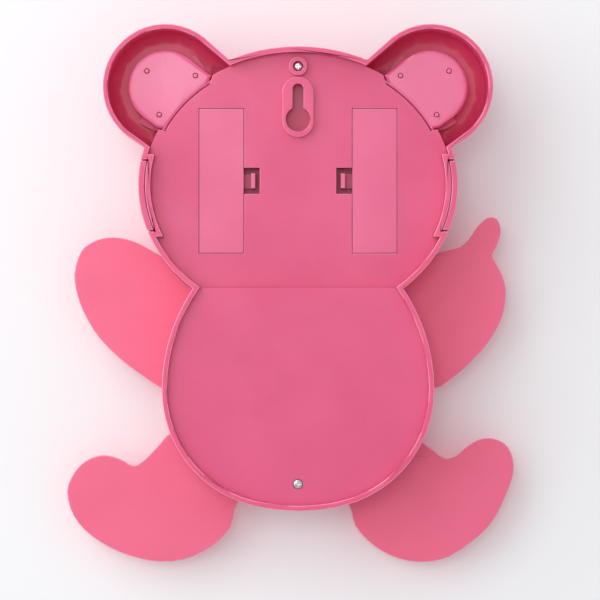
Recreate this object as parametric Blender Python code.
"""Swinging bear wall clock: a moulded two-shell case, limbs that rock, a quartz movement.

The clock hangs upright: +Z is up, +Y points at the wall, and the dial faces -Y.
The origin is the seat of the hanging slot, in the wall plane Y = 0.
Every length below is in millimetres; MM turns it into metres where a mesh is made.
"""
import math

import bmesh
import bpy
from mathutils import Matrix, Vector

MM = 0.001

# ---------------------------------------------------------------- driving dimensions
GAP = 0.3                      # clearance between separate pieces
WALL = 2.3                     # thickness of the case's rim
SKIN = 2.0                     # thickness of flat moulded walls

HEAD_A, HEAD_B, HEAD_Z = 69.1, 59.75, -41.5       # head ellipse: half width, half height, centre
SIDE_R, SIDE_X = 78.6, -19.7                      # body flank arc: radius, centre
CORNER_R, CORNER_X = 51.45, 7.45                  # body lower corner arc
WIDEST_Z = -130.3                                 # height at which the body is widest
BOTTOM_R, BOTTOM_Z = 84.6, -98.0                  # arc under the body
CORNER_END = -77.0                                # degrees, where the corner meets the bottom arc

EAR_X, EAR_Z, EAR_R = 57.4, 0.9, 27.0             # ear circle
EAR_ROOT_TOP, EAR_ROOT_LOW = 65.4, 15.0           # degrees on the head ellipse
EAR_ARC_START, EAR_ARC_END = 128.6, -51.0         # degrees on the ear circle
EAR_WALL = 2.0
EAR_ROUND = 5.7                                   # radius of the ear's front edge
PAD_INSET = 10.6                                  # the raised pad's distance from the ear's outline
PAD_BITE = 5.0                                    # how far the pad reaches into the head ellipse

# depths, measured along Y from the wall plane
COVER_BODY_Y = -3.0            # back face of the cover over the body
COVER_HEAD_Y = -6.4            # back face of the cover over the head
STEP_Z = -85.8                 # height of the step between the two
PAD_Y = -6.4                   # back face of the raised pad in each ear
EAR_FRONT_Y = -24.0
CASE_FRONT_Y = -26.2           # front face of the case
CASE_INNER_Y = -24.4
ARMS_Y = (-26.8, -29.0)        # back and front face of the plate that carries the arms
LEGS_Y = (-29.5, -31.7)
PANEL_BACK_Y = -26.5           # back edge of the front panel
PANEL_FRONT_Y = -38.4
DIAL_FLOOR_Y = -34.4           # floor of the round recess that holds the dial

TAB_TOP, TAB_LOW = -31.3, -61.1                   # the front panel's side tabs
LIMB_SLOT_TOP = -62.2                             # the panel's wall is open below this height
NOTCH_SPARE = 0.7
TAB_THICK = 2.6
DRAFT = 0.2                                       # slope of a moulded step

DIAL_Z, DIAL_R = -130.5, 42.0
ARMS_PIVOT_Z, LEGS_PIVOT_Z = -30.0, -161.5
LINK_REACH = (ARMS_PIVOT_Z - LEGS_PIVOT_Z) / 2.0  # both levers are equally long
REST_SWING = math.radians(3.0)                    # the limbs rest this far to the +X side
PIN_R = 1.5
PIN_Y = (-22.0, -33.6)         # the pivot pins reach from the case into the front panel

DOOR_X, DOOR_Z = 33.25, -39.65                    # centre of a battery door
DOOR_W, DOOR_H, DOOR_T = 19.2, 62.5, 1.6
CELL_R, CELL_L = 7.1, 49.2
CELL_Y = -15.6
WELL_FLOOR_Y = -24.1

KEY_SLOT_R, KEY_HOLE_R, KEY_HOLE_Z = 2.4, 5.4, -13.1
BOSS_Y = -3.0                                     # bosses on the head rise to this depth
SCREW_TOP_Z, SCREW_LOW_Z = 9.9, -171.2
SCREW_R, SCREW_HEAD_R = 1.25, 1.95

MOVE_SIZE = 54.0                                  # the movement is square
MOVE_Y = (-24.1, -11.9)
NECK_R, NECK_BORE = 3.8, 2.7                      # the movement's hollow threaded neck

PINK = (0.86, 0.16, 0.30, 1.0)
PALE = (0.96, 0.80, 0.78, 1.0)
DARK = (0.03, 0.02, 0.02, 1.0)
WHITE = (0.85, 0.84, 0.82, 1.0)
STEEL = (0.60, 0.60, 0.62, 1.0)
BRASS = (0.75, 0.55, 0.22, 1.0)
COPPER = (0.72, 0.30, 0.12, 1.0)
BOARD = (0.05, 0.25, 0.10, 1.0)
BLACK = (0.02, 0.02, 0.02, 1.0)
RED = (0.55, 0.02, 0.02, 1.0)


# ---------------------------------------------------------------- scene helpers
def clear_scene():
    for item in list(bpy.data.objects):
        bpy.data.objects.remove(item, do_unlink=True)


def make_collection(name):
    group = bpy.data.collections.new(name)
    bpy.context.scene.collection.children.link(group)
    return group


def make_material(name, colour, roughness, metallic=0.0):
    material = bpy.data.materials.new(name)
    material.use_nodes = True
    shader = material.node_tree.nodes["Principled BSDF"]
    shader.inputs["Base Color"].default_value = colour
    shader.inputs["Roughness"].default_value = roughness
    shader.inputs["Metallic"].default_value = metallic
    return material


def finish_part(item, colour, roughness=0.35, metallic=0.0):
    """Give a finished piece its own material and put it with the parts."""
    item.data.materials.clear()
    item.data.materials.append(make_material(item.name, colour, roughness, metallic))
    PARTS.objects.link(item)
    return item


def object_from(name, mesh_data):
    mesh_data.update()
    return bpy.data.objects.new(name, mesh_data)


def as_cutter(item):
    CUTTERS.objects.link(item)
    item.display_type = "WIRE"
    item.hide_render = True
    return item


def boolean(item, tool, operation="DIFFERENCE"):
    """Add a Boolean with a tool that stays in the cutters' collection."""
    as_cutter(tool)
    step = item.modifiers.new(operation.title() + str(len(item.modifiers)), "BOOLEAN")
    step.operation = operation
    step.solver = "EXACT"
    step.object = tool
    return item


def carried_by(pivot_name, place, items):
    """Parent items to an empty on their joint's axis, without moving them."""
    pivot = bpy.data.objects.new(pivot_name, None)
    pivot.location = Vector(place) * MM
    pivot.empty_display_size = 5 * MM
    PARTS.objects.link(pivot)
    for item in items:
        item.parent = pivot
        item.matrix_parent_inverse = Matrix.Translation(-Vector(place) * MM)
    return pivot


# ---------------------------------------------------------------- solid helpers
def plate(name, outline, back_y, front_y):
    """A flat piece: a closed outline of (x, z) points, as thick as the two depths say."""
    curve = bpy.data.curves.new(name + "_outline", "CURVE")
    curve.dimensions = "2D"
    curve.fill_mode = "BOTH"
    curve.extrude = abs(back_y - front_y) / 2 * MM
    spline = curve.splines.new("POLY")
    spline.points.add(len(outline) - 1)
    for point, (x, z) in zip(spline.points, outline):
        point.co = (x * MM, z * MM, 0, 1)
    spline.use_cyclic_u = True
    drawn = bpy.data.objects.new(name + "_outline", curve)
    CUTTERS.objects.link(drawn)
    drawn.location.y = (back_y + front_y) / 2 * MM
    drawn.rotation_euler.x = math.pi / 2
    bpy.context.view_layer.update()
    seen = drawn.evaluated_get(bpy.context.evaluated_depsgraph_get())
    solid = bpy.data.meshes.new_from_object(seen)
    solid.transform(drawn.matrix_world)
    bpy.data.objects.remove(drawn, do_unlink=True)
    work = bmesh.new()
    work.from_mesh(solid)
    bmesh.ops.remove_doubles(work, verts=work.verts, dist=0.01 * MM)
    bmesh.ops.dissolve_limit(work, angle_limit=math.radians(0.5),
                             verts=work.verts, edges=work.edges)
    bmesh.ops.recalc_face_normals(work, faces=work.faces)
    work.to_mesh(solid)
    work.free()
    solid.name = name
    return object_from(name, solid)


def round_rim(item, depth, width, segments=3):
    """Round every edge that lies in the plane Y = depth."""
    work = bmesh.new()
    work.from_mesh(item.data)
    rim = [edge for edge in work.edges
           if all(abs(vert.co.y - depth * MM) < 0.01 * MM for vert in edge.verts)]
    bmesh.ops.bevel(work, geom=rim, offset=width * MM, offset_type="OFFSET",
                    segments=segments, profile=0.5, affect="EDGES", clamp_overlap=False)
    bmesh.ops.remove_doubles(work, verts=work.verts, dist=0.01 * MM)
    work.to_mesh(item.data)
    work.free()
    return item


def box(name, low, high):
    """A box between two corners given as (x, y, z)."""
    solid = bpy.data.meshes.new(name)
    work = bmesh.new()
    middle = [(a + b) / 2 * MM for a, b in zip(low, high)]
    size = [abs(b - a) * MM for a, b in zip(low, high)]
    bmesh.ops.create_cube(work, size=1.0,
                          matrix=Matrix.Translation(middle) @ Matrix.Diagonal((*size, 1.0)))
    work.to_mesh(solid)
    work.free()
    return object_from(name, solid)


def rod(name, x, z, radius, back_y, front_y, sides=24):
    """A round bar along Y."""
    solid = bpy.data.meshes.new(name)
    work = bmesh.new()
    turn = Matrix.Rotation(math.pi / 2, 4, "X")
    place = Matrix.Translation((x * MM, (back_y + front_y) / 2 * MM, z * MM))
    bmesh.ops.create_cone(work, cap_ends=True, segments=sides, radius1=radius * MM,
                          radius2=radius * MM, depth=abs(back_y - front_y) * MM,
                          matrix=place @ turn)
    work.to_mesh(solid)
    work.free()
    return object_from(name, solid)


def upright_rod(name, x, y, z_low, z_high, radius, sides=20):
    """A round bar along Z."""
    solid = bpy.data.meshes.new(name)
    work = bmesh.new()
    place = Matrix.Translation((x * MM, y * MM, (z_low + z_high) / 2 * MM))
    bmesh.ops.create_cone(work, cap_ends=True, segments=sides, radius1=radius * MM,
                          radius2=radius * MM, depth=(z_high - z_low) * MM, matrix=place)
    work.to_mesh(solid)
    work.free()
    return object_from(name, solid)


def dome(name, x, z, half_width, half_height, back_y, front_y, steps=28):
    """A cushion-shaped boss: the front half of an ellipsoid on a flat back."""
    solid = bpy.data.meshes.new(name)
    work = bmesh.new()
    bmesh.ops.create_uvsphere(work, u_segments=steps, v_segments=12, radius=1.0)
    bmesh.ops.rotate(work, verts=work.verts, matrix=Matrix.Rotation(math.pi / 2, 3, "X"))
    bmesh.ops.bisect_plane(work, geom=work.verts[:] + work.edges[:] + work.faces[:],
                           dist=1e-5, plane_co=(0, 0, 0), plane_no=(0, 1, 0), clear_outer=True)
    bmesh.ops.holes_fill(work, edges=[edge for edge in work.edges if edge.is_boundary])
    depth = abs(back_y - front_y)
    bmesh.ops.scale(work, verts=work.verts,
                    vec=(half_width * MM, depth * MM, half_height * MM))
    bmesh.ops.translate(work, verts=work.verts, vec=(x * MM, back_y * MM, z * MM))
    bmesh.ops.recalc_face_normals(work, faces=work.faces)
    work.to_mesh(solid)
    work.free()
    return object_from(name, solid)


def wire(name, points, radius, sides=2):
    """A bent wire of round section through (x, y, z) points."""
    curve = bpy.data.curves.new(name, "CURVE")
    curve.dimensions = "3D"
    curve.bevel_depth = radius * MM
    curve.bevel_resolution = sides
    curve.use_fill_caps = True
    spline = curve.splines.new("POLY")
    spline.points.add(len(points) - 1)
    for point, place in zip(spline.points, points):
        point.co = (*(Vector(place) * MM), 1)
    drawn = bpy.data.objects.new(name + "_path", curve)
    CUTTERS.objects.link(drawn)
    bpy.context.view_layer.update()
    seen = drawn.evaluated_get(bpy.context.evaluated_depsgraph_get())
    solid = bpy.data.meshes.new_from_object(seen)
    bpy.data.objects.remove(drawn, do_unlink=True)
    work = bmesh.new()
    work.from_mesh(solid)
    bmesh.ops.remove_doubles(work, verts=work.verts, dist=0.001 * MM)
    bmesh.ops.recalc_face_normals(work, faces=work.faces)
    work.to_mesh(solid)
    work.free()
    solid.name = name
    return object_from(name, solid)


# ---------------------------------------------------------------- outlines, as (x, z) points
def arc(centre_x, centre_z, radius, start, end, steps):
    """Points on a circle, from the start angle to the end angle in degrees."""
    angles = [math.radians(start + (end - start) * i / steps) for i in range(steps + 1)]
    return [(centre_x + radius * math.cos(a), centre_z + radius * math.sin(a)) for a in angles]


def head_arc(inset, start, end, steps):
    """Points on the head's ellipse, brought in by inset."""
    angles = [math.radians(start + (end - start) * i / steps) for i in range(steps + 1)]
    return [((HEAD_A - inset) * math.cos(a), HEAD_Z + (HEAD_B - inset) * math.sin(a))
            for a in angles]


def head_angle(inset, height):
    """The ellipse angle, in degrees, at which the inset head has this height on +X."""
    return math.degrees(math.asin((height - HEAD_Z) / (HEAD_B - inset)))


def neck_angle(inset):
    """The ellipse angle at which the inset head meets the inset body."""
    low, high = -75.0, -30.0
    for _ in range(40):
        middle = (low + high) / 2
        x, z = head_arc(inset, middle, middle, 1)[0]
        if math.hypot(x - SIDE_X, z - WIDEST_Z) > SIDE_R - inset:
            high = middle
        else:
            low = middle
    return low


def body_side(inset):
    """The body's +X side, from the neck down to the lowest point."""
    neck_x, neck_z = head_arc(inset, neck_angle(inset), neck_angle(inset), 1)[0]
    start = math.degrees(math.atan2(neck_z - WIDEST_Z, neck_x - SIDE_X))
    flank = arc(SIDE_X, WIDEST_Z, SIDE_R - inset, start, 0, 7)
    corner = arc(CORNER_X, WIDEST_Z, CORNER_R - inset, 0, CORNER_END, 11)
    foot = arc(0, BOTTOM_Z, BOTTOM_R - inset, CORNER_END, -90, 4)
    return flank + corner[1:] + foot[1:]


def mirrored(right_side):
    """Close a half outline that runs from the top centre to the bottom centre."""
    left_side = [(-x, z) for x, z in reversed(right_side) if abs(x) > 0.01]
    return right_side + left_side


def bear_outline(inset=0.0):
    """Head and body, without ears."""
    half = head_arc(inset, 90, neck_angle(inset), 30)[:-1] + body_side(inset)
    return mirrored(half)


def notched_outline(inset):
    """Head and body with a step inward behind each side tab."""
    deep = inset + TAB_THICK + GAP
    top, low = TAB_TOP + NOTCH_SPARE + WALL, TAB_LOW - NOTCH_SPARE - WALL
    half = head_arc(inset, 90, head_angle(inset, top), 17)
    half += head_arc(deep, head_angle(deep, top - DRAFT), head_angle(deep, low + DRAFT), 9)
    half += head_arc(inset, head_angle(inset, low), neck_angle(inset), 5)[:-1]
    return mirrored(half + body_side(inset))


def ear_outline(side, inset, root_inset):
    """One ear, closed by an arc inside the head's outline."""
    ear = arc(EAR_X, EAR_Z, EAR_R - inset, EAR_ARC_START, EAR_ARC_END, 22)
    root = head_arc(root_inset, EAR_ROOT_LOW + inset * 0.6, EAR_ROOT_TOP - inset * 0.6, 8)
    return [(side * x, z) for x, z in ear + root]


def pad_outline(side, inset=0.0):
    """The raised pad in an ear: round outside, and hollowed along the head."""
    ear = arc(EAR_X, EAR_Z, EAR_R - PAD_INSET - inset, EAR_ARC_START, EAR_ARC_END, 16)
    low_corner = (61.3 - 0.8 * inset, -16.6 + 1.2 * inset)
    top_corner = (37.4 + 1.3 * inset, 6.2 - 0.1 * inset)
    bite = head_arc(PAD_BITE - inset, 26.0 + 1.6 * inset, 52.5 - 1.3 * inset, 8)
    return [(side * x, z) for x, z in ear + [low_corner] + bite + [top_corner]]


def smooth(points, steps=3):
    """A closed curve that passes through every point, drawn with short straight runs."""
    count = len(points)
    drawn = []
    for i in range(count):
        before, start, end, after = (Vector(points[(i + j) % count]) for j in (-1, 0, 1, 2))
        for step in range(steps):
            t = step / steps
            bend = ((2 * start) + (end - before) * t
                    + (2 * before - 5 * start + 4 * end - after) * t ** 2
                    + (3 * start - before - 3 * end + after) * t ** 3)
            drawn.append(tuple(bend / 2))
    return drawn


def stadium(half_width, top, low, steps=12):
    """A slot with round ends, upright on X = 0."""
    return (arc(0, top, half_width, 0, 180, steps) + arc(0, low, half_width, 180, 360, steps))


def toothed(centre_x, centre_z, tip, teeth, depth):
    """The outline of a small wheel with plain tapered teeth."""
    points = []
    for tooth in range(teeth):
        for share, radius in ((0.0, tip - depth), (0.3, tip), (0.55, tip), (0.85, tip - depth)):
            angle = 2 * math.pi * (tooth + share) / teeth
            points.append((centre_x + radius * math.cos(angle),
                           centre_z + radius * math.sin(angle)))
    return points


# ---------------------------------------------------------------- shells
def make_case():
    """The rear shell: one moulding with the rim, the front wall and both ear cups."""
    case = plate("case", bear_outline(), 2, CASE_FRONT_Y)
    for side in (1, -1):
        ear = plate("ear_solid", ear_outline(side, 0.0, WALL), 3, EAR_FRONT_Y)
        boolean(case, round_rim(ear, EAR_FRONT_Y, EAR_ROUND), "UNION")
    boolean(case, box("trim_to_wall", (-100, 0, -200), (100, 9, 50)))
    boolean(case, plate("case_hollow", notched_outline(WALL), 5, CASE_INNER_Y))
    for side in (1, -1):
        cup_floor = EAR_FRONT_Y + SKIN
        cup = plate("ear_hollow", ear_outline(side, EAR_WALL, WALL + 1.0), 5, cup_floor)
        boolean(case, round_rim(cup, cup_floor, EAR_ROUND - 1.0))
        pad = plate("ear_pad", pad_outline(side), PAD_Y, CASE_FRONT_Y + 0.5)
        boolean(case, round_rim(pad, PAD_Y, 1.6), "UNION")
        boolean(case, plate("ear_dish", pad_outline(side, SKIN), PAD_Y - SKIN, -30))
        for x, z in stake_places(side):
            boolean(case, rod("stake_hole", x, z, 1.15, -5, -12, 12))
        boolean(case, plate("tab_notch", notch_outline(side), 5, -30))
    for z in (ARMS_PIVOT_Z, LEGS_PIVOT_Z):
        boolean(case, rod("pin_boss", 0, z, 3.2, -21.0, CASE_FRONT_Y + 0.5), "UNION")
        boolean(case, rod("pin_bore", 0, z, PIN_R + GAP, -20.0, -30))
    for z in (SCREW_TOP_Z, SCREW_LOW_Z):
        boolean(case, rod("post_hole", 0, z, 4.0, -20, -30))
    boolean(case, rod("neck_hole", 0, DIAL_Z, NECK_R + 0.5, -20, -30))
    boolean(case, box("coil_window", (-13, -20, -81), (13, -30, -65)))
    return finish_part(case, PINK)


def notch_outline(side):
    """The opening in the case's wall that a side tab fills."""
    inset = TAB_THICK + GAP
    top, low = TAB_TOP + NOTCH_SPARE, TAB_LOW - NOTCH_SPARE
    inner = head_arc(inset, head_angle(inset, top), head_angle(inset, low), 9)
    outer = [(HEAD_A + 5, low), (HEAD_A + 5, top)]
    return [(side * x, z) for x, z in inner + outer]


def stake_places(side):
    """The three stakes that hold an inner ear."""
    return [(side * x, z) for x, z in ((65.6, 8.0), (44.5, 6.0), (60.2, -11.0))]


def make_rear_cover():
    """The back plate: low over the head, high over the body, with both battery wells."""
    cover = plate("rear_cover", notched_outline(WALL + GAP), COVER_BODY_Y, COVER_HEAD_Y - SKIN)
    boolean(cover, box("head_recess", (-90, COVER_HEAD_Y, STEP_Z), (90, 5, 40)))
    boolean(cover, box("body_recess", (-90, COVER_BODY_Y - SKIN, -200),
                       (90, -30, STEP_Z - SKIN)))
    for side in (1, -1):
        boolean(cover, plate("pad_notch", pad_outline(side, -0.5), 5, -30))
        add_battery_well(cover, side)
    boolean(cover, plate("key_boss", stadium(6.7, -1.4, -14.1), BOSS_Y, -13.2), "UNION")
    boolean(cover, plate("key_hollow", stadium(5.6, -1.4, -14.1), BOSS_Y - SKIN, -12.0))
    boolean(cover, plate("key_slot", stadium(KEY_SLOT_R, 0, KEY_HOLE_Z), 5, -8))
    boolean(cover, rod("key_hole", 0, KEY_HOLE_Z, KEY_HOLE_R, 5, -8, 32))
    boolean(cover, rod("screw_boss", 0, SCREW_TOP_Z, 4.0, BOSS_Y, COVER_HEAD_Y - 1), "UNION")
    for z, seat in ((SCREW_TOP_Z, -6.2), (SCREW_LOW_Z, COVER_BODY_Y - 1.2)):
        boolean(cover, rod("head_hole", 0, z, SCREW_HEAD_R + GAP, 5, seat, 20))
        boolean(cover, rod("shank_hole", 0, z, SCREW_R + GAP, 5, -12, 20))
    return finish_part(cover, PINK)


def add_battery_well(cover, side):
    """Sink one battery compartment into the cover, with its latch pocket."""
    x = side * DOOR_X
    reach_x, reach_z = 11.3, 33.0
    boolean(cover, box("well", (x - reach_x, COVER_HEAD_Y - 1, DOOR_Z - reach_z),
                       (x + reach_x, WELL_FLOOR_Y, DOOR_Z + reach_z)), "UNION")
    latch_x = side * 20.0
    boolean(cover, box("latch_box", (latch_x - 4.4, COVER_HEAD_Y - 1.2, DOOR_Z - 6.9),
                       (latch_x + 4.4, -17.6, DOOR_Z + 6.9)), "UNION")
    rebate_w, rebate_h = DOOR_W / 2 + GAP, DOOR_H / 2 + GAP
    boolean(cover, box("door_rebate", (x - rebate_w, 5, DOOR_Z - rebate_h),
                       (x + rebate_w, COVER_HEAD_Y - DOOR_T - GAP, DOOR_Z + rebate_h)))
    boolean(cover, box("cell_space", (x - 8.2, 5, DOOR_Z - 29.8),
                       (x + 8.2, WELL_FLOOR_Y + 1.2, DOOR_Z + 29.8)))
    boolean(cover, box("latch_pocket", (side * 16.6, 5, DOOR_Z - 5.7),
                       (side * 27.0, -16.4, DOOR_Z + 5.7)))


def make_front_panel():
    """The front shell: face and belly in one moulding, with tabs that hook the case."""
    panel = round_rim(plate("front_panel", bear_outline(), PANEL_BACK_Y, PANEL_FRONT_Y),
                      PANEL_FRONT_Y, 5.0, 3)
    hollow = plate("panel_hollow", bear_outline(SKIN + 0.2), PANEL_BACK_Y + 2,
                   PANEL_FRONT_Y + SKIN + 0.2)
    boolean(panel, round_rim(hollow, PANEL_FRONT_Y + SKIN + 0.2, 3.5, 2))
    boolean(panel, rod("dial_seat", 0, DIAL_Z, DIAL_R + 2.5, DIAL_FLOOR_Y + SKIN,
                       PANEL_FRONT_Y + 1.0, 64), "UNION")
    boolean(panel, rod("dial_recess", 0, DIAL_Z, DIAL_R + 0.5, DIAL_FLOOR_Y,
                       PANEL_FRONT_Y - 5, 64))
    boolean(panel, rod("neck_hole", 0, DIAL_Z, NECK_R + 0.6, -20, -50))
    for side in (1, -1):
        boolean(panel, plate("side_tab", tab_outline(side), 0, PANEL_BACK_Y - 3), "UNION")
        boolean(panel, box("limb_slot", (side * 16, PANEL_BACK_Y + 3, -200),
                           (side * 80, LEGS_Y[1] - 0.8, LIMB_SLOT_TOP)))
    for z, root in ((SCREW_TOP_Z, PANEL_FRONT_Y + 1.5), (SCREW_LOW_Z, DIAL_FLOOR_Y + 0.4)):
        boolean(panel, rod("post", 0, z, 3.5, -9.0, root, 20), "UNION")
        boolean(panel, rod("pilot", 0, z, SCREW_R + GAP, -8, -31, 16))
    boolean(panel, rod("socket", 0, ARMS_PIVOT_Z, 3.4, -32.3, PANEL_FRONT_Y + 1.5, 20), "UNION")
    for z in (ARMS_PIVOT_Z, LEGS_PIVOT_Z):
        boolean(panel, rod("socket_bore", 0, z, PIN_R + GAP, -31, PIN_Y[1] - GAP, 16))
    return finish_part(panel, PINK)


def tab_outline(side):
    """A side tab follows the head's outline."""
    outer = head_arc(0, head_angle(0, TAB_TOP), head_angle(0, TAB_LOW), 9)
    inner = head_arc(TAB_THICK, head_angle(TAB_THICK, TAB_LOW), head_angle(TAB_THICK, TAB_TOP), 9)
    return [(side * x, z) for x, z in outer + inner]


# ---------------------------------------------------------------- face
def make_face():
    """Muzzle, nose and eyes are separate pieces set on the flat of the face."""
    base = PANEL_FRONT_Y - GAP
    muzzle = dome("muzzle", 0, -57, 21, 14.5, base, base - 4.2)
    finish_part(boolean(muzzle, rod("nose_seat", 0, -51.5, 3.6, -36, -60)), PALE, 0.45)
    nose = dome("nose", 0, -51.5, 6.0, 4.4, base - 4.6, base - 7.0, 20)
    boolean(nose, rod("nose_peg", 0, -51.5, 3.2, base - 0.2, base - 5.2, 16), "UNION")
    finish_part(nose, DARK, 0.15)
    for side, name in ((1, "eye_left"), (-1, "eye_right")):
        finish_part(dome(name, side * 27, -40, 4.0, 4.6, base, base - 2.2, 16), DARK, 0.12)
    for side, name in ((1, "inner_ear_left"), (-1, "inner_ear_right")):
        top = PAD_Y - SKIN - GAP
        inner = plate(name, pad_outline(side, SKIN + 2 * GAP), top, top - 2.0)
        for x, z in stake_places(side):
            boolean(inner, rod("stake", x, z, 0.85, PAD_Y + 0.6, top - 1.0, 12), "UNION")
        finish_part(inner, PALE, 0.45)


# ---------------------------------------------------------------- limbs
def rest_point(pivot_z, reach, swing):
    """A point on a lever that hangs from (or stands on) a pivot, in the rest pose."""
    return (reach * math.sin(swing), pivot_z - reach * math.cos(swing))


def make_arms():
    """Both arms are one moulding that hangs from a pin behind the face."""
    left_arm = [(50, -84), (57.5, -74.5), (65, -69.4), (71.5, -66), (77.5, -64.2),
                (83.8, -63.9), (90, -65.6), (95.6, -70), (98.5, -80), (97, -90),
                (93.5, -98.7), (88, -107.5), (79.5, -116.3), (68, -125.1), (54, -132)]
    right_arm = [(-50, -128), (-60, -130.5), (-69, -125.1), (-78.6, -116.3), (-85.6, -107.5),
                 (-89.9, -98.7), (-91.6, -89), (-90.3, -81.5), (-87, -74.8), (-85.6, -71.6),
                 (-87.6, -67.6), (-89.4, -61), (-87.6, -55.8), (-83.4, -55.2), (-79, -59),
                 (-75.6, -64), (-71.5, -68), (-66, -69.4), (-60, -71.5), (-52, -76)]
    bridge = [(40, -120), (12, -106), (-12, -106), (-40, -118)]
    stem = [(-40, -84), (-9, -78), (9, -78), (38, -86)]
    arms = plate("arms_plate", smooth(left_arm + bridge + right_arm + stem), *ARMS_Y)
    stem_top = plate("arms_stem", [(-6, ARMS_PIVOT_Z), (6, ARMS_PIVOT_Z), (9.5, -88), (-4.5, -88)],
                     ARMS_Y[0] - 0.1, ARMS_Y[1] + 0.1)
    boolean(arms, stem_top, "UNION")
    boolean(arms, rod("arms_hub", 0, ARMS_PIVOT_Z, 6.0, ARMS_Y[0], ARMS_Y[1], 28), "UNION")
    boolean(arms, rod("arms_bore", 0, ARMS_PIVOT_Z, PIN_R + GAP, -20, -40, 20))
    magnet_x, magnet_z = rest_point(ARMS_PIVOT_Z, 43, REST_SWING)
    boolean(arms, rod("magnet_seat", magnet_x, magnet_z, 5.3, -20, -40, 28))
    link_x, link_z = rest_point(ARMS_PIVOT_Z, LINK_REACH, REST_SWING)
    slot = [(link_x + x, link_z + z) for x, z in stadium(PIN_R + GAP, 1.4, -1.4, 8)]
    boolean(arms, plate("link_slot", slot, -20, -40))
    finish_part(arms, PINK)
    magnet = rod("drive_magnet", magnet_x, magnet_z, 5.0, ARMS_Y[0] + 0.2, ARMS_Y[1], 28)
    finish_part(magnet, STEEL, 0.35, 1.0)
    carried_by("arms_pivot", (0, ARMS_Y[0], ARMS_PIVOT_Z), [arms, magnet])


def make_legs():
    """Both legs are one moulding that turns on a lower pin; a tall stem takes the link."""
    left_leg = [(40, -150), (55, -149.5), (62, -156), (67.5, -161.6), (72.6, -164.6),
                (79, -161.5), (86.2, -159.9), (93.2, -162.1), (98.6, -167.3), (101.9, -175.8),
                (98.9, -186.8), (91, -195.6), (79, -202.5), (65, -206.4), (51, -206),
                (38, -200), (29.8, -191.4), (26.3, -180)]
    right_leg = [(-22, -181), (-25.3, -191.2), (-33.6, -200), (-44.3, -205.5), (-56, -207),
                 (-67.1, -204.4), (-79.7, -195.6), (-87.2, -186.8), (-93.3, -173.6),
                 (-95.2, -164.8), (-92.7, -156.4), (-86.4, -152.6), (-79.5, -153.1),
                 (-73.6, -156.8), (-69, -160.6), (-64.6, -161.2), (-58.4, -156.8),
                 (-50, -151.5), (-38, -150)]
    underside = [(10, -167.2), (-10, -167.2)]
    topside = [(-12, -156), (12, -156)]
    legs = plate("legs_plate", smooth(left_leg + underside + right_leg + topside), *LEGS_Y)
    lean = -REST_SWING
    ring_x, ring_z = rest_point(LEGS_PIVOT_Z, DIAL_Z - LEGS_PIVOT_Z, math.pi + lean)
    link_x, link_z = rest_point(LEGS_PIVOT_Z, LINK_REACH, math.pi + lean)
    boolean(legs, plate("legs_stem", [(-7, -160), (7, -160), (link_x + 4.6, link_z),
                                      (link_x - 4.6, link_z)],
                        LEGS_Y[0] - 0.1, LEGS_Y[1] + 0.1), "UNION")
    boolean(legs, rod("stem_ring", ring_x, ring_z, 11.5, LEGS_Y[0] - 0.05, LEGS_Y[1] + 0.05, 32),
            "UNION")
    boolean(legs, rod("stem_end", link_x, link_z, 5.0, LEGS_Y[0], LEGS_Y[1], 24), "UNION")
    boolean(legs, rod("stem_window", ring_x, ring_z, 7.2, -20, -40, 32))
    boolean(legs, rod("legs_bore", 0, LEGS_PIVOT_Z, PIN_R + GAP, -20, -40, 20))
    boolean(legs, rod("link_bore", link_x, link_z, PIN_R + GAP, -20, -40, 20))
    finish_part(legs, PINK)
    link = rod("link_pin", link_x, link_z, PIN_R, ARMS_Y[0] - 0.2, LEGS_Y[1], 20)
    finish_part(link, STEEL, 0.3, 1.0)
    carried_by("legs_pivot", (0, LEGS_Y[0], LEGS_PIVOT_Z), [legs, link])


def make_pivot_pins():
    """Each limb plate turns on a steel pin held between the two shells."""
    for name, z in (("arms_pivot_pin", ARMS_PIVOT_Z), ("legs_pivot_pin", LEGS_PIVOT_Z)):
        finish_part(rod(name, 0, z, PIN_R, *PIN_Y, 16), STEEL, 0.3, 1.0)


def make_swing_drive():
    """A coil behind the case's front wall pulls the magnet as the arms swing past."""
    coil = rod("drive_coil", 0, -73, 10.5, -18.0, -23.9, 32)
    boolean(coil, rod("coil_bore", 0, -73, 4.0, -10, -30, 20))
    finish_part(coil, COPPER, 0.4, 0.6)
    board = box("drive_board", (-14, -15.6, -86), (14, -17.2, -58))
    finish_part(board, BOARD, 0.5)


# ---------------------------------------------------------------- battery bay
def make_battery_bay(side, word):
    """A door with its latch, a cell and the two contacts of one battery compartment."""
    x = side * DOOR_X
    door = box("battery_door_" + word, (x - DOOR_W / 2, COVER_HEAD_Y, DOOR_Z - DOOR_H / 2),
               (x + DOOR_W / 2, COVER_HEAD_Y - DOOR_T, DOOR_Z + DOOR_H / 2))
    boolean(door, box("spring_leg", (side * 24.1, COVER_HEAD_Y - 1, DOOR_Z - 3.2),
                      (side * 25.4, -15.2, DOOR_Z + 3.2)), "UNION")
    boolean(door, box("spring_bend", (side * 18.6, -14.1, DOOR_Z - 3.2),
                      (side * 25.4, -15.2, DOOR_Z + 3.2)), "UNION")
    finish_part(door, PINK)
    latch = box("battery_latch_" + word, (side * 18.6, COVER_HEAD_Y - 0.5, DOOR_Z - 3.2),
                (side * 20.4, -13.8, DOOR_Z + 3.2))
    finish_part(latch, PINK)
    carried_by("latch_axis_" + word, (side * 19.5, -13.8, DOOR_Z), [latch])
    hinge_x = side * (DOOR_X + DOOR_W / 2)
    carried_by("door_axis_" + word, (hinge_x, COVER_HEAD_Y, DOOR_Z), [door])
    make_cell(x, word)


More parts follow.
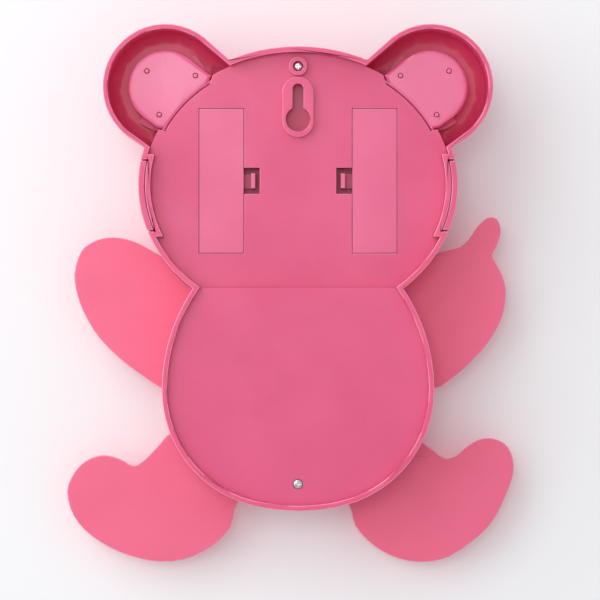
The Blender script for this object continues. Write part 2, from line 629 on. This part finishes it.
def make_cell(x, word):
    """One AA cell between a flat contact at the top and a coil spring below."""
    low, high = DOOR_Z - CELL_L / 2 + 1.6, DOOR_Z + CELL_L / 2 + 1.6
    cell = upright_rod("battery_" + word, x, CELL_Y, low, high, CELL_R, 28)
    boolean(cell, upright_rod("cell_nub", x, CELL_Y, high - 1, high + 1.3, 2.6, 16), "UNION")
    finish_part(cell, BLACK, 0.35)
    contact_z = high + 1.3 + GAP
    contact = box("contact_plate_" + word, (x - 5, CELL_Y - 4, contact_z),
                  (x + 5, CELL_Y + 4, contact_z + 0.5))
    finish_part(contact, STEEL, 0.3, 1.0)
    turns, per_turn = 3, 10
    coil = []
    start, height = DOOR_Z - 29.2, (low - GAP) - (DOOR_Z - 29.2) - 0.5
    for i in range(turns * per_turn + 1):
        share = i / (turns * per_turn)
        angle = 2 * math.pi * i / per_turn
        radius = 4.8 - 1.6 * share
        coil.append((x + radius * math.cos(angle), CELL_Y + radius * math.sin(angle),
                     start + height * share))
    finish_part(wire("contact_spring_" + word, coil, 0.4, 1), STEEL, 0.3, 1.0)


# ---------------------------------------------------------------- dial and hands
def hand_outline(length, tail, half_width, tip_width, boss):
    """A tapered hand that points up from the dial's centre, with a round boss."""
    share = math.degrees(math.asin(half_width / boss))
    upper = arc(0, DIAL_Z, boss, 90 - share, -90 + share, 10)
    lower = arc(0, DIAL_Z, boss, -90 - share, -270 + share, 10)
    return ([(tip_width, DIAL_Z + length)] + upper + [(half_width, DIAL_Z - tail),
            (-half_width, DIAL_Z - tail)] + lower + [(-tip_width, DIAL_Z + length)])


def turn_about_dial(item, degrees):
    """Set a hand to its resting direction, clockwise as seen from the front."""
    centre = Vector((0, 0, DIAL_Z)) * MM
    spin = Matrix.Rotation(math.radians(degrees), 4, "Y")
    item.data.transform(Matrix.Translation(centre) @ spin @ Matrix.Translation(-centre))
    return item


def make_dial_and_hands():
    """A printed dial in the belly, three hands, and the nut that clamps the movement."""
    dial = rod("dial", 0, DIAL_Z, DIAL_R, DIAL_FLOOR_Y - GAP, DIAL_FLOOR_Y - 1.1, 64)
    finish_part(boolean(dial, rod("dial_hole", 0, DIAL_Z, NECK_R + 0.4, -30, -40)), WHITE, 0.5)
    nut = plate("hand_nut", arc(0, DIAL_Z, 6.2, 0, 300, 5), DIAL_FLOOR_Y - 1.4, -37.2)
    boolean(nut, rod("nut_bore", 0, DIAL_Z, NECK_R + GAP, -30, -40))
    finish_part(nut, BRASS, 0.3, 1.0)
    hands = {}
    for name, length, tail, half, tip, boss, bore, depth, rest in (
            ("hour_hand", 22, 5.5, 1.9, 1.0, 4.2, 2.25 + GAP, -38.4, -56),
            ("minute_hand", 33, 6.5, 1.5, 0.8, 3.6, 1.2 + GAP, -39.5, 48),
            ("second_hand", 36, 10, 0.6, 0.35, 2.2, 0, -40.6, 180)):
        hand = plate(name, hand_outline(length, tail, half, tip, boss), depth + 0.3, depth - 0.3)
        turn_about_dial(hand, rest)
        if bore:
            boolean(hand, rod(name + "_bore", 0, DIAL_Z, bore, -30, -50, 20))
        hands[name] = finish_part(hand, RED if name == "second_hand" else BLACK, 0.4)
    return hands


# ---------------------------------------------------------------- movement
def make_wheel(name, x, z, tip, teeth, back_y, front_y):
    """A small moulded wheel."""
    return plate(name, toothed(x, z, tip, teeth, 0.6), back_y, front_y)


def make_movement():
    """The quartz movement's housing, motor and train, around the dial's centre."""
    half, (front_y, back_y) = MOVE_SIZE / 2, MOVE_Y
    low, high = DIAL_Z - half, DIAL_Z + half
    tray = box("movement_case", (-half, front_y, low), (half, back_y, high))
    boolean(tray, box("tray_hollow", (1.3 - half, front_y + 1.3, low + 1.3),
                      (half - 1.3, back_y + 5, high - 1.3)))
    boolean(tray, rod("neck", 0, DIAL_Z, NECK_R, front_y + 0.8, -36.9, 28), "UNION")
    boolean(tray, rod("neck_bore", 0, DIAL_Z, NECK_BORE, -20, -45, 28))
    finish_part(tray, BLACK, 0.5)
    lid = box("movement_cover", (-half, back_y + GAP, low), (half, back_y + 1.5, high))
    finish_part(lid, BLACK, 0.5)
    board = box("movement_board", (-22, -14.2, DIAL_Z - 24), (-4, -15.2, DIAL_Z + 8))
    finish_part(board, BOARD, 0.5)
    coil = upright_rod("motor_coil", 19, -17.6, DIAL_Z - 14, DIAL_Z + 12, 3.2, 20)
    finish_part(coil, COPPER, 0.4, 0.6)
    make_stator()


ROTOR = (0.0, DIAL_Z + 7.9)


def make_stator():
    """A soft iron plate that leads the coil's field around the rotor."""
    stator = plate("motor_stator", [(-6, ROTOR[1] - 4.4), (14.6, ROTOR[1] - 4.4),
                                    (14.6, ROTOR[1] + 10), (-6, ROTOR[1] + 10)], -15.4, -16.4)
    boolean(stator, rod("rotor_gap", ROTOR[0], ROTOR[1], 2.9, -10, -20, 24))
    finish_part(stator, STEEL, 0.4, 1.0)


def make_train(hands):
    """Rotor, third, second, minute, motion and hour wheels; each turns on its own axis."""
    rotor = rod("motor_rotor", *ROTOR, 2.4, -14.9, -17.3, 20)
    boolean(rotor, plate("rotor_pinion", toothed(*ROTOR, 1.0, 6, 0.35), -16.8, -18.5), "UNION")
    finish_part(rotor, STEEL, 0.3, 0.8)
    carried_by("rotor_axis", (ROTOR[0], -16, ROTOR[1]), [rotor])

    second = make_wheel("second_wheel", 0, DIAL_Z, 6.5, 20, -17.9, -18.5)
    boolean(second, rod("second_pinion", 0, DIAL_Z, 1.6, -18.2, -19.4, 16), "UNION")
    boolean(second, rod("second_shaft", 0, DIAL_Z, 0.45, -18.0, -40.0, 12), "UNION")
    finish_part(second, WHITE, 0.5)
    carried_by("second_axis", (0, -18, DIAL_Z), [second, hands["second_hand"]])

    third = make_wheel("third_wheel", -8.2, DIAL_Z, 6.2, 20, -18.8, -19.4)
    boolean(third, rod("third_pinion", -8.2, DIAL_Z, 1.3, -19.2, -20.5, 16), "UNION")
    finish_part(third, WHITE, 0.5)
    carried_by("third_axis", (-8.2, -19, DIAL_Z), [third])

    minute = make_wheel("minute_wheel", 0, DIAL_Z, 6.5, 20, -19.8, -20.5)
    boolean(minute, rod("minute_pinion", 0, DIAL_Z, 2.1, -20.2, -21.3, 16), "UNION")
    boolean(minute, rod("minute_tube", 0, DIAL_Z, 1.2, -20.2, -39.8, 16), "UNION")
    boolean(minute, rod("minute_bore", 0, DIAL_Z, 0.8, -15, -45, 12))
    finish_part(minute, WHITE, 0.5)
    carried_by("minute_axis", (0, -20, DIAL_Z), [minute, hands["minute_hand"]])

    motion = make_wheel("motion_wheel", 9.1, DIAL_Z, 6.5, 20, -20.8, -21.3)
    boolean(motion, rod("motion_pinion", 9.1, DIAL_Z, 1.8, -21.1, -22.4, 16), "UNION")
    finish_part(motion, WHITE, 0.5)
    carried_by("motion_axis", (9.1, -21, DIAL_Z), [motion])

    hour = make_wheel("hour_wheel", 0, DIAL_Z, 6.9, 20, -21.7, -22.4)
    boolean(hour, rod("hour_tube", 0, DIAL_Z, 2.25, -22.0, -38.7, 20), "UNION")
    boolean(hour, rod("hour_bore", 0, DIAL_Z, 1.6, -15, -45, 20))
    finish_part(hour, WHITE, 0.5)
    carried_by("hour_axis", (0, -22, DIAL_Z), [hour, hands["hour_hand"]])


# ---------------------------------------------------------------- fasteners and leads
def make_screws():
    """Two long pan-head screws clamp the cover and case to the front panel's posts."""
    for name, z, seat in (("case_screw_top", SCREW_TOP_Z, -6.2 + GAP),
                          ("case_screw_bottom", SCREW_LOW_Z, COVER_BODY_Y - 1.2 + GAP)):
        screw = rod(name, 0, z, SCREW_R, seat + 0.5, -28.0, 16)
        boolean(screw, rod("screw_head", 0, z, SCREW_HEAD_R, seat + 1.5, seat, 20), "UNION")
        for size in ((1.25, 0.3), (0.3, 1.25)):
            boolean(screw, box("cross", (-size[0], seat + 2, z - size[1]),
                               (size[0], seat + 0.7, z + size[1])))
        finish_part(screw, STEEL, 0.3, 1.0)


def make_leads():
    """Thin insulated wires from the compartments to the movement and the swing drive."""
    start_z = DOOR_Z - 33.4
    for word, side, goal, depth, colour in (("movement_lead_red", 1, (18, -103.2), -13.5, RED),
                                            ("movement_lead_black", 1, (12, -103.2), -16.0, BLACK),
                                            ("drive_lead_red", -1, (-14.8, -80), -16.0, RED),
                                            ("drive_lead_black", -1, (-14.8, -84), -16.0, BLACK)):
        begin = (side * (30 if "red" in word else 36), start_z)
        points = []
        for i in range(13):
            t = i / 12
            ease = t * t * (3 - 2 * t)
            points.append((begin[0] + (goal[0] - begin[0]) * ease, depth - 2.0 * math.sin(math.pi * t),
                           begin[1] + (goal[1] - begin[1]) * t))
        finish_part(wire(word, points, 0.6, 1), colour, 0.45)


clear_scene()
PARTS = make_collection("bear_wall_clock")
CUTTERS = make_collection("cutters")
make_case()
make_rear_cover()
make_front_panel()
make_face()
make_arms()
make_legs()
make_pivot_pins()
make_swing_drive()
for bay_side, bay_word in ((1, "left"), (-1, "right")):
    make_battery_bay(bay_side, bay_word)
CLOCK_HANDS = make_dial_and_hands()
make_movement()
make_train(CLOCK_HANDS)
make_screws()
make_leads()
